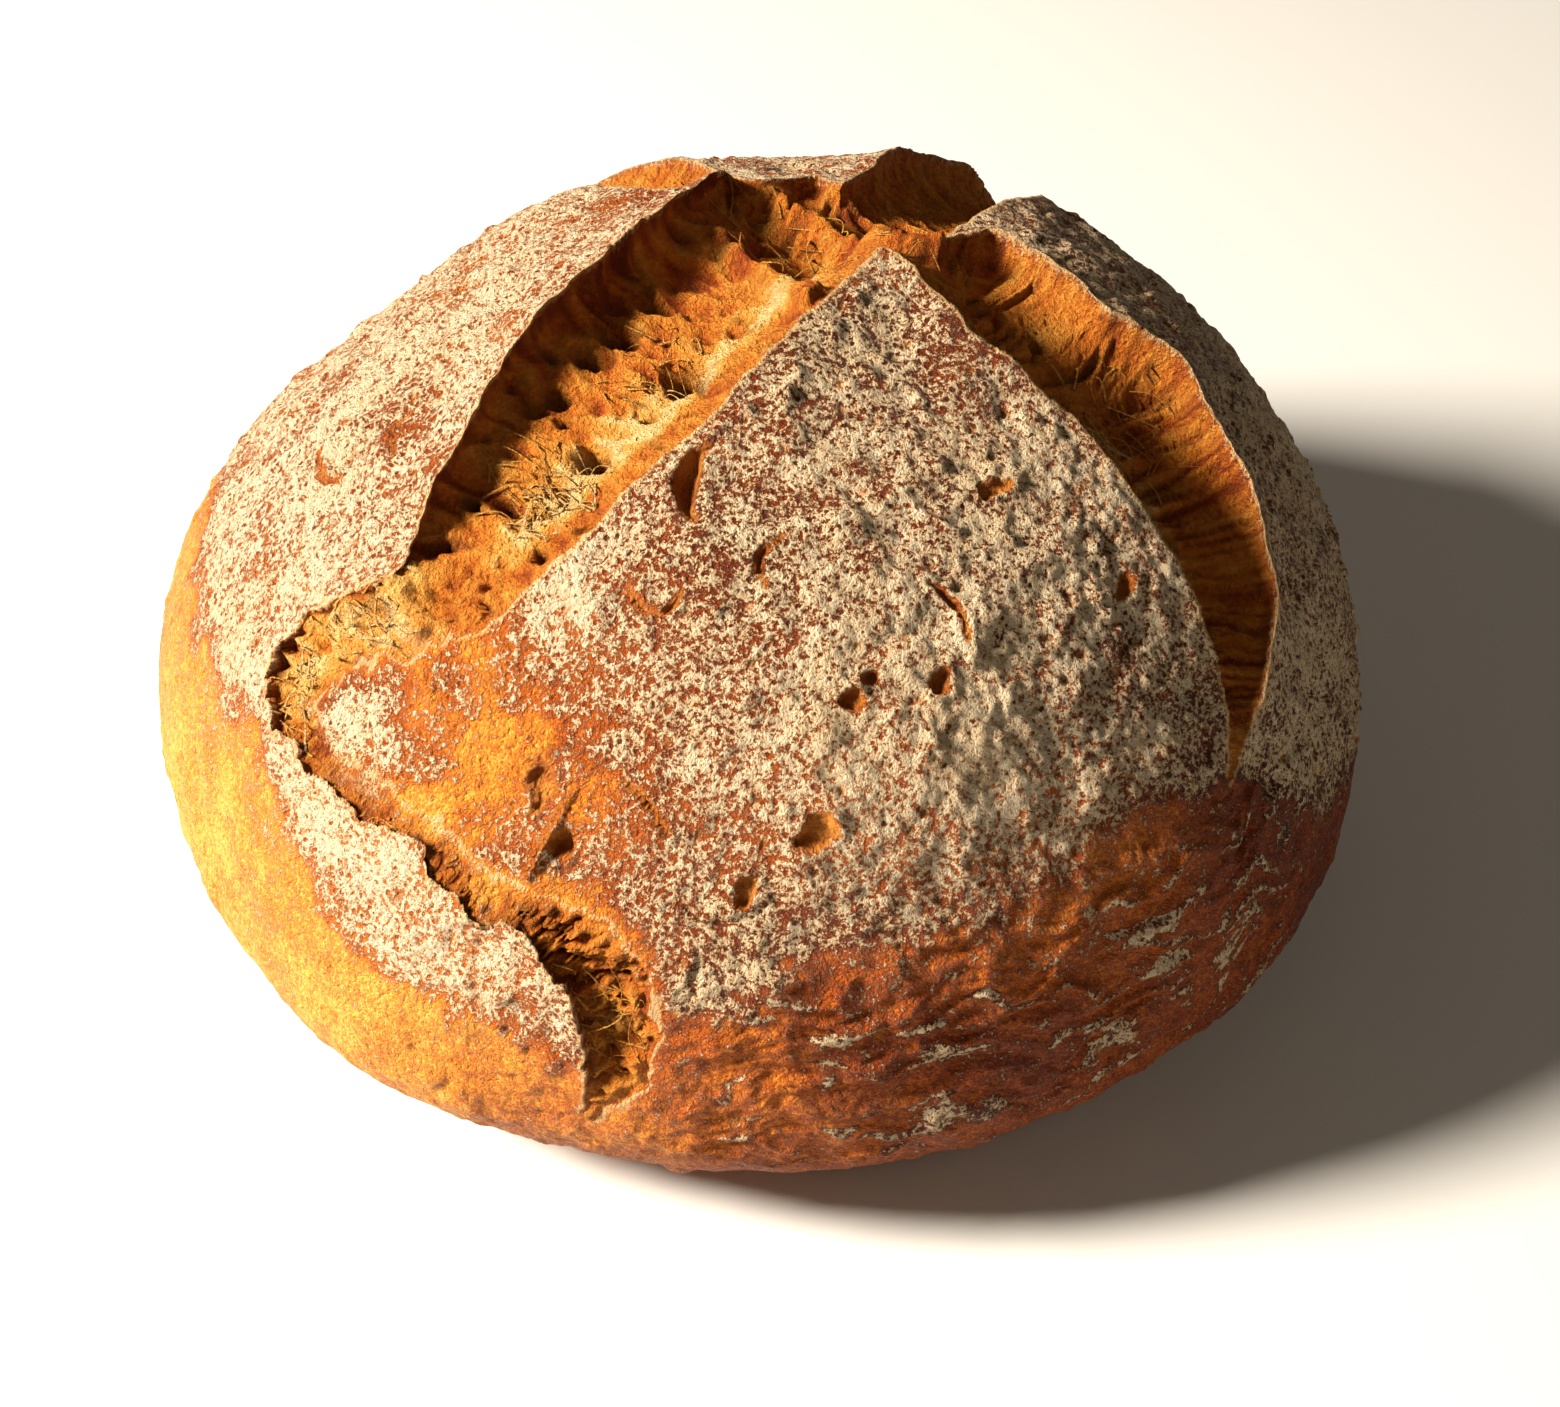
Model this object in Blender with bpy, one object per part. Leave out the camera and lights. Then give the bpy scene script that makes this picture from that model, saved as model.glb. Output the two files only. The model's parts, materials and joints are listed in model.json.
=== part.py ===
"""A round sourdough loaf (a boule), baked as one piece: a domed body on a small flat base, opened
on top by a cross of two slashes, one of which runs on as a crack down the front left side.

Run with: blender --background --python part.py
Units are metres, +Z is up and -Y is the front. The origin is at the centre of the base.

Places on the crust are given on a flat map: the map's centre is the top of the dome, and a point's
distance from it is the distance along the crust, straight down from the top.
"""

import math

import bmesh
import bpy
import numpy as np
from mathutils import Vector

# Driving dimensions of the plain body, a superellipse turned about +Z in two halves.
BELLY_RADIUS = 0.110
DOME_TOP = 0.1245
BELLY_HEIGHT = 0.0352  # of the widest level above the base
DOME_POWER = 2.0
UNDERSIDE_POWER = 2.7
UNDERSIDE_SHARE = 1.11  # depth of the underside before the base cuts it flat, in belly heights
CRUST_DIVISIONS = 21  # of each side of the cube that the body's sphere is made from

# Swells and hollows of the crust: (map x, map y, reach, height above the plain body).
SWELLS = (
    (0.060, 0.020, 0.040, 0.0055),  # shoulder of the right petal
    (-0.072, 0.050, 0.045, -0.0045),  # back left shoulder, lower than the rest
    (0.085, -0.120, 0.035, -0.0035),  # front right, drawn in above the base
    (-0.065, -0.118, 0.030, 0.0020),  # front left belly
    (0.010, -0.075, 0.040, 0.0015),  # middle of the front petal
    (0.020, 0.105, 0.050, 0.0020),  # back of the rear petal
)
LIP_HEIGHT = 0.0050  # how far the crust lifts beside a deep opening
LIP_REACH = 0.012
LIP_FULL_DEPTH = 0.012  # depth of an opening whose lips lift fully

# Each opening: (map x, map y, half width, depth) at points along its middle.
LONG_SLASH = (
    (-0.091, -0.064, 0.003, 0.002),
    (-0.081, -0.064, 0.005, 0.004),
    (-0.070, -0.063, 0.007, 0.005),
    (-0.059, -0.062, 0.008, 0.007),
    (-0.048, -0.058, 0.011, 0.010),
    (-0.039, -0.049, 0.014, 0.013),
    (-0.030, -0.039, 0.015, 0.015),
    (-0.020, -0.027, 0.016, 0.015),
    (-0.010, -0.014, 0.016, 0.015),
    (0.002, 0.001, 0.016, 0.015),
    (0.013, 0.014, 0.016, 0.016),
    (0.023, 0.026, 0.015, 0.015),
    (0.033, 0.040, 0.014, 0.013),
    (0.042, 0.055, 0.012, 0.010),
    (0.050, 0.072, 0.008, 0.006),
    (0.055, 0.088, 0.003, 0.002),
)
CROSS_SLASH = (
    (0.091, -0.088, 0.002, 0.0015),
    (0.089, -0.076, 0.003, 0.003),
    (0.087, -0.064, 0.006, 0.006),
    (0.083, -0.051, 0.009, 0.010),
    (0.076, -0.040, 0.011, 0.012),
    (0.067, -0.029, 0.012, 0.014),
    (0.055, -0.019, 0.013, 0.014),
    (0.042, -0.009, 0.013, 0.014),
    (0.029, 0.000, 0.013, 0.014),
    (0.014, 0.012, 0.014, 0.016),
    (0.002, 0.023, 0.011, 0.012),
    (-0.009, 0.034, 0.009, 0.010),
    (-0.020, 0.047, 0.008, 0.009),
    (-0.032, 0.061, 0.006, 0.006),
    (-0.044, 0.077, 0.003, 0.002),
)
SIDE_CRACK = (
    (-0.090, -0.063, 0.003, 0.002),
    (-0.086, -0.071, 0.004, 0.004),
    (-0.079, -0.080, 0.005, 0.005),
    (-0.070, -0.091, 0.004, 0.005),
    (-0.060, -0.098, 0.004, 0.005),
    (-0.053, -0.107, 0.005, 0.006),
    (-0.044, -0.116, 0.004, 0.005),
    (-0.036, -0.126, 0.006, 0.007),
    (-0.032, -0.138, 0.0065, 0.007),
    (-0.036, -0.149, 0.004, 0.003),
    (-0.040, -0.156, 0.002, 0.001),
)
OPENINGS = {
    "long_slash": LONG_SLASH,
    "cross_slash": CROSS_SLASH,
    "side_crack": SIDE_CRACK,
}
PATH_STEPS = 4  # stations of a cutter between two points of its opening
CUTTER_ROUNDING = 5  # bevel resolution of a cutter's round section
WELD_DISTANCE = 0.00005

CRUST_COLOUR = (0.55, 0.27, 0.09, 1.0)
CRUST_ROUGHNESS = 0.75

PROFILE_POINTS = 400  # of each half of the profile


def profile_half(power, height):
    """Radius, height above the belly and outward slope of one half, from the belly to its pole."""
    turn = np.linspace(0, math.pi / 2, PROFILE_POINTS)
    radius = BELLY_RADIUS * np.cos(turn) ** (2 / power)
    rise = height * np.sin(turn) ** (2 / power)
    out = np.cos(turn) ** (2 - 2 / power) / BELLY_RADIUS
    up = np.sin(turn) ** (2 - 2 / power) / height
    return np.stack([radius, BELLY_HEIGHT + rise, out, up], axis=1)


def profile_table():
    """Rows of (distance from the top, radius, height, normal out, normal up) down the crust."""
    dome = profile_half(DOME_POWER, DOME_TOP - BELLY_HEIGHT)[::-1]
    underside = profile_half(UNDERSIDE_POWER, -UNDERSIDE_SHARE * BELLY_HEIGHT)[1:]
    rows = np.concatenate([dome, underside])
    steps = np.hypot(np.diff(rows[:, 0]), np.diff(rows[:, 1]))
    distance = np.concatenate([[0.0], np.cumsum(steps)])
    return np.column_stack([distance, rows])


PROFILE = profile_table()
UNDERSIDE_CENTRE = PROFILE[-1, 0]  # map distance of the underside's middle


def body_at(place):
    """Point and outward normal of the plain body at a map place."""
    away = place.length
    side = place / away if away > 0 else Vector((1.0, 0.0))
    radius, height, out, up = (np.interp(away, PROFILE[:, 0], column) for column in PROFILE.T[1:])
    point = Vector((side.x * radius, side.y * radius, height))
    return point, Vector((side.x * out, side.y * out, up)).normalized()


def map_place(direction):
    """Map place of a unit direction: its angle from straight up is a share of the distance."""
    share = math.acos(max(-1.0, min(1.0, direction.z))) / math.pi
    azimuth = math.atan2(direction.y, direction.x)
    return Vector((math.cos(azimuth), math.sin(azimuth))) * share * UNDERSIDE_CENTRE


def smooth_path(points):
    """Points of a Catmull-Rom curve through the given points, PATH_STEPS to each stretch."""
    given = [np.array(p) for p in points]
    padded = [2 * given[0] - given[1], *given, 2 * given[-1] - given[-2]]
    path = []
    for before, start, end, after in zip(padded, padded[1:], padded[2:], padded[3:]):
        for step in range(PATH_STEPS):
            t = step / PATH_STEPS
            bend = 2 * before - 5 * start + 4 * end - after
            twist = 3 * start - before - 3 * end + after
            path.append(0.5 * (2 * start + (end - before) * t + bend * t**2 + twist * t**3))
    path.append(given[-1])
    return np.array(path)


def crust_height(place, openings):
    """How far the crust stands above the plain body at a map place."""
    height = 0.0
    for x, y, reach, swell in SWELLS:
        height += swell * math.exp(-((place - Vector((x, y))).length_squared) / reach**2)
    lift = 0.0
    for path in openings:
        outside = np.hypot(path[:, 0] - place.x, path[:, 1] - place.y) - path[:, 2]
        nearest = int(np.argmin(outside))
        strength = min(1.0, path[nearest, 3] / LIP_FULL_DEPTH)
        lift = max(lift, strength * math.exp(-max(0.0, outside[nearest]) / LIP_REACH))
    return height + LIP_HEIGHT * lift


def crust_point(place, openings, rise=0.0):
    """Point of the crust at a map place, or one that stands the given rise above it."""
    point, normal = body_at(place)
    return point + normal * (crust_height(place, openings) + rise)


def make_body(openings, collection):
    """The domed body, shaped from a subdivided cube, with its base cut flat."""
    shape = bmesh.new()
    bmesh.ops.create_cube(shape, size=2.0)
    bmesh.ops.subdivide_edges(
        shape, edges=shape.edges[:], cuts=CRUST_DIVISIONS, use_grid_fill=True
    )
    for vertex in shape.verts:
        evened = Vector([math.tan(c * math.pi / 4) for c in vertex.co])
        vertex.co = crust_point(map_place(evened.normalized()), openings)
    cut = bmesh.ops.bisect_plane(
        shape,
        geom=shape.verts[:] + shape.edges[:] + shape.faces[:],
        plane_co=(0, 0, 0),
        plane_no=(0, 0, -1),
        clear_outer=True,
    )
    rim = [part for part in cut["geom_cut"] if isinstance(part, bmesh.types.BMEdge)]
    bmesh.ops.contextual_create(shape, geom=rim)
    bmesh.ops.recalc_face_normals(shape, faces=shape.faces[:])
    mesh = bpy.data.meshes.new("sourdough_loaf")
    shape.to_mesh(mesh)
    shape.free()
    loaf = bpy.data.objects.new("sourdough_loaf", mesh)
    collection.objects.link(loaf)
    return loaf


def make_guide(name, path, openings, collection):
    """A round tube along an opening, sized to leave the opening's width and depth in the crust."""
    curve = bpy.data.curves.new(name, "CURVE")
    curve.dimensions = "3D"
    curve.bevel_depth = 1.0
    curve.bevel_resolution = CUTTER_ROUNDING
    curve.use_fill_caps = True
    spline = curve.splines.new("POLY")
    spline.points.add(len(path) - 1)
    for point, (x, y, half_width, depth) in zip(spline.points, path):
        radius = (half_width**2 + depth**2) / (2 * depth)
        point.co = (*crust_point(Vector((x, y)), openings, radius - depth), 1.0)
        point.radius = radius
    guide = bpy.data.objects.new(name + "_guide", curve)
    collection.objects.link(guide)
    return guide


def make_cutter(name, path, openings, collection):
    """The guide's tube as a closed mesh, which a Boolean can use."""
    guide = make_guide(name, path, openings, collection)
    bpy.context.view_layer.update()
    graph = bpy.context.evaluated_depsgraph_get()
    mesh = bpy.data.meshes.new_from_object(guide.evaluated_get(graph))
    weld = bmesh.new()
    weld.from_mesh(mesh)
    bmesh.ops.remove_doubles(weld, verts=weld.verts[:], dist=WELD_DISTANCE)
    bmesh.ops.recalc_face_normals(weld, faces=weld.faces[:])
    weld.to_mesh(mesh)
    weld.free()
    cutter = bpy.data.objects.new(name, mesh)
    cutter.matrix_world = guide.matrix_world.copy()
    cutter.hide_render = True
    cutter.display_type = "WIRE"
    collection.objects.link(cutter)
    bpy.data.objects.remove(guide)
    return cutter


def cut(loaf, cutter):
    modifier = loaf.modifiers.new(cutter.name, "BOOLEAN")
    modifier.operation = "DIFFERENCE"
    modifier.solver = "EXACT"
    modifier.object = cutter


def crust_material():
    material = bpy.data.materials.new("crust")
    material.use_nodes = True
    shader = material.node_tree.nodes["Principled BSDF"]
    shader.inputs["Base Color"].default_value = CRUST_COLOUR
    shader.inputs["Roughness"].default_value = CRUST_ROUGHNESS
    shader.inputs["Metallic"].default_value = 0.0
    return material


def new_collection(name):
    collection = bpy.data.collections.new(name)
    bpy.context.scene.collection.children.link(collection)
    return collection


def main():
    for old in list(bpy.data.objects):
        bpy.data.objects.remove(old)
    parts = new_collection("sourdough_loaf")
    cutters = new_collection("cutters")
    openings = [smooth_path(points) for points in OPENINGS.values()]
    loaf = make_body(openings, parts)
    loaf.data.materials.append(crust_material())
    for name, path in zip(OPENINGS, openings):
        cut(loaf, make_cutter(name, path, openings, cutters))
    loaf.data.shade_smooth()


main()
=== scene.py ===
"""A round sourdough loaf: one finely shaped surface over the CAD frame, with a procedural crust.

Places on the crust are given in millimetres on a flat map: its centre is the top of the dome, and a
point's distance from it is the distance along the crust, straight down from the top. On the map +x
is the loaf's right and -y its front. The crust is in four petals round two crossed slashes: left,
front, right and rear (L, F, R and K). Lips are the petals' edges, and the opening is between them.
"""

import json
import math

import bpy
import numpy as np
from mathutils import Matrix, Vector

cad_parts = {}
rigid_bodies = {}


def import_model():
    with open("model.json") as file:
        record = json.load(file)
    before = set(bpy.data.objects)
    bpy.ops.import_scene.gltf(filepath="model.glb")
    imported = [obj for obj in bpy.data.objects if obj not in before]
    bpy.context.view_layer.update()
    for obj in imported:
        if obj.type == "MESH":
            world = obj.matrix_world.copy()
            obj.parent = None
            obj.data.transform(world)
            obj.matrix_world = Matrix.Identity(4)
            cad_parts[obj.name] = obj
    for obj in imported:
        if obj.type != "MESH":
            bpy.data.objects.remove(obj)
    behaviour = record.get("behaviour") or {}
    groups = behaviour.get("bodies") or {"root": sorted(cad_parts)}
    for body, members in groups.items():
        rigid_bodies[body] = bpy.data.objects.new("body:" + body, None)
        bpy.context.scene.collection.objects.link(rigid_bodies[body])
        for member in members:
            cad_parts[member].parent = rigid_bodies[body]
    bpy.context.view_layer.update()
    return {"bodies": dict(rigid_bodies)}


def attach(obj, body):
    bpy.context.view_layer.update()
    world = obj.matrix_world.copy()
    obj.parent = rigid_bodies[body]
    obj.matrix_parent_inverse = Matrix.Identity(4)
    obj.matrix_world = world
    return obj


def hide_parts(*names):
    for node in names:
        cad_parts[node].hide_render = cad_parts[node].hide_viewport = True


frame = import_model()

MM = 0.001

# The plain body, as in the CAD part: a superellipse turned about +Z in two halves.
BELLY_RADIUS = 110.0
DOME_TOP = 124.5
BELLY_HEIGHT = 35.2
DOME_POWER = 2.0
UNDERSIDE_POWER = 2.7
UNDERSIDE_SHARE = 1.11
PROFILE_POINTS = 1500  # of each half
BASE_POINTS = 200  # of the flat base, from its edge to its middle
BASE_START = 0.995  # share of the base's radius at which its first point lies

GRID = 801  # vertices along a side of the folded square that the crust's mesh is
INNER_REACH = 182.0  # map distance that the inner half of the square's rings covers
UPPER_REACH = 168  # map distance within which the openings lie
FAR = 99.0  # stands for the distance to a lip from places below that

# (map x, map y, reach, height): slow swells and hollows of the whole crust.
SWELLS = (
    (60, 18, 38, 3.6), (-80, 55, 42, -4.5), (-40, 42, 20, 2.0), (97, -143, 22, -0.9),
    (122, 45, 34, -1.8), (-95, -130, 42, 3.0), (-148, -8, 55, 2.2), (10, -75, 40, 1.5),
    (20, 105, 50, 2.0), (0, 62, 30, -1.8), (80, -95, 20, 1.2),
)

# The lips, each from the crossing outwards.
L_F = (
    (-7, 26), (-10, 20), (-17, 9), (-23, 2), (-28, -5), (-36, -16), (-41, -22), (-45, -31),
    (-48, -36), (-53, -44), (-56, -49), (-58, -55), (-64, -57), (-71, -56), (-78, -55.5),
    (-84, -58), (-89.5, -59), (-92.5, -64), (-91, -68), (-85, -78), (-78, -86), (-70, -94),
    (-64, -97.5), (-59.5, -101), (-60, -105), (-56, -111), (-50, -114), (-46.5, -115.5),
    (-43.5, -119.5), (-40.5, -125), (-38, -130.5), (-37, -136), (-38, -142), (-39, -148),
    (-43, -154),
)
F_L = (
    (19, -1), (5.5, -20.5), (-1.5, -29), (-9, -39.5), (-18, -48), (-27.5, -57), (-37, -63.5),
    (-45, -69), (-54, -70), (-64, -69.5), (-74, -68), (-81, -70.5), (-79, -78), (-74, -84.5),
    (-67, -90.5), (-60.5, -95), (-55, -101.5), (-52, -107), (-46, -111), (-39, -114),
    (-31, -118.5), (-25, -124), (-22, -130), (-21, -136), (-23, -143), (-29, -150), (-39, -156),
)
F_R = (
    (20.5, -1.5), (25, -7.5), (30, -12.5), (34, -18), (40, -22.5), (45.5, -26.5), (51, -30.5),
    (56.5, -35.5), (63, -42.5), (69.5, -50), (75.5, -58), (82, -67), (85.5, -73), (88, -82),
)
R_F = (
    (30, 9.0), (34.5, 12), (39.5, 14), (43.5, 10.8), (49.5, 4), (56, -3), (64, -5.5), (70.5, -7),
    (74, -13), (77.5, -20), (82.5, -26), (86.5, -32.5), (90, -41.5), (91, -50), (91, -58.5),
    (90.5, -66), (89.5, -74), (89, -83),
)
R_K = ((30, 9.0), (34.5, 16), (40, 24), (48, 37), (53.5, 53), (57, 70), (57, 92))
K_R = ((9, 35.5), (14, 30), (19.5, 41), (26, 60), (36, 73), (47, 84), (56, 94))
K_L = ((9, 35.5), (4, 31.5), (-4, 29), (-12, 44), (-25, 60.5), (-36, 71), (-46, 80))
L_K = ((-7, 26), (-13.5, 26), (-23, 33), (-31.5, 46), (-39, 60), (-47, 80))
LIPS = {"L_F": L_F, "F_L": F_L, "F_R": F_R, "R_F": R_F, "R_K": R_K, "K_R": K_R, "K_L": K_L, "L_K": L_K}
RING = (("L_F", 1), ("F_L", -1), ("F_R", 1), ("R_F", -1), ("R_K", 1), ("K_R", -1), ("K_L", 1), ("L_K", -1))

# Along each lip, (share of its length, rise of the lip, reach of the rise, slope of the wall below
# it, overhang, depth): the slope is the distance in which the wall has gone down two thirds of its
# depth, and the depth is a share of the most that the opening's width allows.
LIP_SHAPES = {
    "L_F": (
        (0, 6.5, 14, 4, 3.5, 1), (0.15, 6, 16, 4, 4, 1), (0.33, 5, 16, 3.5, 4, 1),
        (0.38, 4, 12, 3, 2.5, 0.7), (0.44, 2, 8, 2.5, 1, 0.5), (0.5, 2, 8, 2, 1, 0.55),
        (0.6, 2.5, 8, 1.5, 2, 0.9), (0.8, 2.8, 9, 1.5, 3, 0.9), (0.95, 1.5, 8, 2, 1, 0.8),
        (1, 0, 8, 2, 0, 0.5),
    ),
    "F_L": (
        (0, 4.5, 14, 9, 0, 1), (0.15, 2.5, 12, 12, 0, 1), (0.34, 1.5, 12, 13, 0, 1),
        (0.44, 0.5, 10, 6, 0, 0.5), (0.6, 0.3, 8, 3.5, 0, 0.75), (0.75, 0.3, 8, 6, 0, 0.9),
        (0.9, 0.3, 8, 7, 0, 0.8), (1, 0, 8, 3, 0, 0.5),
    ),
    "F_R": (
        (0, 4.5, 14, 7, 0, 1), (0.3, 2.5, 12, 7, 0, 1), (0.7, 2.5, 10, 5, 0, 1), (0.9, 1, 8, 3, 0, 1),
        (1, 0, 6, 2, 0, 1),
    ),
    "R_F": (
        (0, 1, 10, 4, 2, 1), (0.15, 2.5, 12, 4, 3, 1), (0.35, 4.2, 12, 4, 3, 1),
        (0.6, 5, 12, 4, 3.5, 1), (0.85, 4, 10, 3, 2, 1), (1, 0, 8, 2, 0, 1),
    ),
    "R_K": (
        (0, 1, 10, 5, 1, 1), (0.45, 2.6, 12, 6, 1, 1), (1, 0, 8, 3, 0, 1),
    ),
    "K_R": (
        (0, 1.5, 10, 5, 2, 1), (0.25, 2.2, 12, 5, 3, 1), (0.45, 4.2, 12, 5, 3, 1),
        (0.75, 4.4, 12, 5, 3, 1), (1, 0, 8, 3, 0, 1),
    ),
    "K_L": (
        (0, 1.5, 10, 4, 2, 1), (0.15, 2.8, 12, 4, 2, 1), (0.5, 3.2, 12, 4, 2, 1), (1, 0, 8, 3, 0, 1),
    ),
    "L_K": (
        (0, 5.5, 10, 5, 1, 1), (0.12, 3, 10, 5, 1, 1), (0.4, 0.5, 12, 6, 1, 1), (1, 0, 8, 3, 0, 1),
    ),
}
RISE, REACH, SLOPE, OVERHANG, DEPTH = range(5)  # a row's numbers after the share
PETALS = ("L", "F", "R", "K")
OPENING_DEPTH = 15.0  # most that the opening's floor goes down below its lips
WIDTH_SHARE = 0.95  # of the opening's width that it may be deep
SNAP_REACH = 0.3  # distance from a lip within which a place is moved onto it
BLEND_SOFTNESS = 0.01  # square millimetres, in the blend between the petals' lips
FAR_WALL_REACH = 1.5  # distance from another petal's lip in which an overhang fades
FIBRE_SOFTNESS = 1.0  # as BLEND_SOFTNESS, in the blend of the crumb's fibres
FIBRE_RUN = 160  # millimetres that every lip counts as long, for the fibres

NOISE_SEED = 7
TABLE_SIZE = 256  # a power of two
NOISE_SHIFT = 17.37  # cells between one seed's noise and the next one's
CELL_SHIFT = 13.71
NOISE_GAIN = 1.6  # brings the noise to about -1 to 1
OWN_STEP = 97  # odd, so that each table number gives another number of its own


# ---- noise

rng = np.random.default_rng(NOISE_SEED)
SHUFFLE = rng.permutation(TABLE_SIZE).astype(np.int64)
SHUFFLE = np.concatenate([SHUFFLE, SHUFFLE])
DIRECTIONS = rng.normal(size=(TABLE_SIZE, 3))
DIRECTIONS /= np.linalg.norm(DIRECTIONS, axis=1)[:, None]
DIRECTIONS = DIRECTIONS.astype(np.float32)
SPOTS = rng.random((TABLE_SIZE, 3)).astype(np.float32)


def cell_number(cell, dx, dy, dz):
    x, y, z = ((cell + (dx, dy, dz)) & (TABLE_SIZE - 1)).T
    return SHUFFLE[SHUFFLE[SHUFFLE[x] + y] + z]


def noise(points, scale, seed=0):
    """Gradient noise, about -1 to 1, with bumps about as wide as the scale (a number or three)."""
    spots = (points / np.asarray(scale) + seed * NOISE_SHIFT).astype(np.float32)
    cell = np.floor(spots).astype(np.int64)
    inside = spots - cell
    ease = inside**3 * (inside * (inside * 6 - 15) + 10)
    total = np.zeros(len(spots), np.float32)
    for dx in (0, 1):
        wx = ease[:, 0] if dx else 1 - ease[:, 0]
        for dy in (0, 1):
            wy = ease[:, 1] if dy else 1 - ease[:, 1]
            for dz in (0, 1):
                wz = ease[:, 2] if dz else 1 - ease[:, 2]
                lean = DIRECTIONS[cell_number(cell, dx, dy, dz)]
                away = inside - np.array([dx, dy, dz], np.float32)
                total += wx * wy * wz * (lean * away).sum(axis=1)
    return total * NOISE_GAIN


def layered(points, scale, layers, seed=0, gain=0.5):
    """Noise summed over layers, each at half the scale of the one before."""
    total, strength, most = 0.0, 1.0, 0.0
    for layer in range(layers):
        total = total + strength * noise(points, np.asarray(scale) / 2**layer, seed + layer)
        most += strength
        strength *= gain
    return total / most


def cells(points, scale, seed=0):
    """Distance to the nearest and second nearest scattered spot, and a number of the nearest's own."""
    spots = (points / np.asarray(scale) + seed * CELL_SHIFT).astype(np.float32)
    cell = np.floor(spots).astype(np.int64)
    inside = spots - cell
    first = np.full(len(spots), FAR, np.float32)
    second = first.copy()
    own = np.zeros(len(spots), np.float32)
    for dx in (-1, 0, 1):
        for dy in (-1, 0, 1):
            for dz in (-1, 0, 1):
                number = cell_number(cell, dx, dy, dz)
                away = SPOTS[number] + np.array([dx, dy, dz], np.float32) - inside
                distance = np.sqrt((away**2).sum(axis=1))
                nearer = distance < first
                second = np.where(nearer, first, np.minimum(second, distance))
                own = np.where(nearer, number * OWN_STEP % TABLE_SIZE / TABLE_SIZE, own)
                first = np.where(nearer, distance, first)
    return first, second, own.astype(np.float32)


def smoothstep(low, high, value):
    """0 at low, 1 at high and smooth between them; low may be the larger one."""
    t = np.clip((value - low) / (high - low), 0, 1)
    return t * t * (3 - 2 * t)


# ---- the plain body

def profile_half(power, height):
    """Rows of (radius, height, normal out, normal up) of one half, from the belly to its end."""
    turn = np.linspace(0, math.pi / 2, PROFILE_POINTS)
    radius = BELLY_RADIUS * np.cos(turn) ** (2 / power)
    rise = height * np.sin(turn) ** (2 / power)
    out = np.cos(turn) ** (2 - 2 / power) / BELLY_RADIUS
    up = np.sin(turn) ** (2 - 2 / power) / height
    long = np.hypot(out, up)
    return np.stack([radius, BELLY_HEIGHT + rise, out / long, up / long], axis=1)


def profile_table():
    """Rows of (map distance, radius, height, normal out, normal up), from the top to the base."""
    dome = profile_half(DOME_POWER, DOME_TOP - BELLY_HEIGHT)[::-1]
    underside = profile_half(UNDERSIDE_POWER, -UNDERSIDE_SHARE * BELLY_HEIGHT)[1:]
    rows = np.concatenate([dome, underside])
    rows = rows[: int(np.argmax(rows[:, 1] < 0))]
    edge = rows[-1, 0]
    flat = np.linspace(edge * BASE_START, 0, BASE_POINTS)
    base = np.column_stack([flat, 0 * flat, 0 * flat, 0 * flat - 1])
    rows = np.concatenate([rows, base])
    steps = np.hypot(np.diff(rows[:, 0]), np.diff(rows[:, 1]))
    return np.column_stack([np.concatenate([[0.0], np.cumsum(steps)]), rows]), edge


PROFILE, BASE_RADIUS = profile_table()
MAP_END = PROFILE[-1, 0]
BASE_DISTANCE = MAP_END - BASE_RADIUS


def body_at(x, y):
    """Points and outward normals of the plain body at map places."""
    away = np.hypot(x, y)
    safe = np.maximum(away, 1e-9)
    side_x, side_y = x / safe, y / safe
    radius, height, out, up = (np.interp(away, PROFILE[:, 0], c) for c in PROFILE.T[1:])
    point = np.stack([side_x * radius, side_y * radius, height], axis=1)
    return point, np.stack([side_x * out, side_y * out, up], axis=1)


# ---- the mesh's grid

def crust_grid():
    """Map places of a square grid whose middle is the top and whose edges meet under the base."""
    line = np.linspace(-1, 1, GRID)
    u, v = np.meshgrid(line, line)
    ring = np.abs(u) + np.abs(v)
    sign_u, sign_v = np.where(u >= 0, 1.0, -1.0), np.where(v >= 0, 1.0, -1.0)
    outer = ring > 1
    fold_u = np.where(outer, 1 - np.abs(v), np.abs(u))
    fold_v = np.where(outer, 1 - np.abs(u), np.abs(v))
    turn = math.pi / 2 * fold_v / np.maximum(fold_u + fold_v, 1e-12)
    distance = np.where(outer, INNER_REACH + (MAP_END - INNER_REACH) * (ring - 1), INNER_REACH * ring)
    return distance * sign_u * np.cos(turn), distance * sign_v * np.sin(turn), u, v


def welded_numbers():
    """The vertex number of each grid place, with the places that the folded edges share made one."""
    number = np.arange(GRID * GRID).reshape(GRID, GRID)
    half = GRID // 2
    for edge in (number[0], number[-1], number[:, 0], number[:, -1]):
        edge[half + 1 :] = edge[:half][::-1]
    number[0, 0] = number[0, -1] = number[-1, 0] = number[-1, -1] = 0
    return number


# ---- lips and the opening

def smooth_path(points, steps=3):
    """A Catmull-Rom curve through the points."""
    given = [np.array(p, float) for p in points]
    padded = [2 * given[0] - given[1], *given, 2 * given[-1] - given[-2]]
    path = []
    for a, b, c, d in zip(padded, padded[1:], padded[2:], padded[3:]):
        for step in range(steps):
            t = step / steps
            bend, twist = 2 * a - 5 * b + 4 * c - d, 3 * b - a - 3 * c + d
            path.append(0.5 * (2 * b + (c - a) * t + bend * t**2 + twist * t**3))
    path.append(given[-1])
    return np.array(path)


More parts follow.
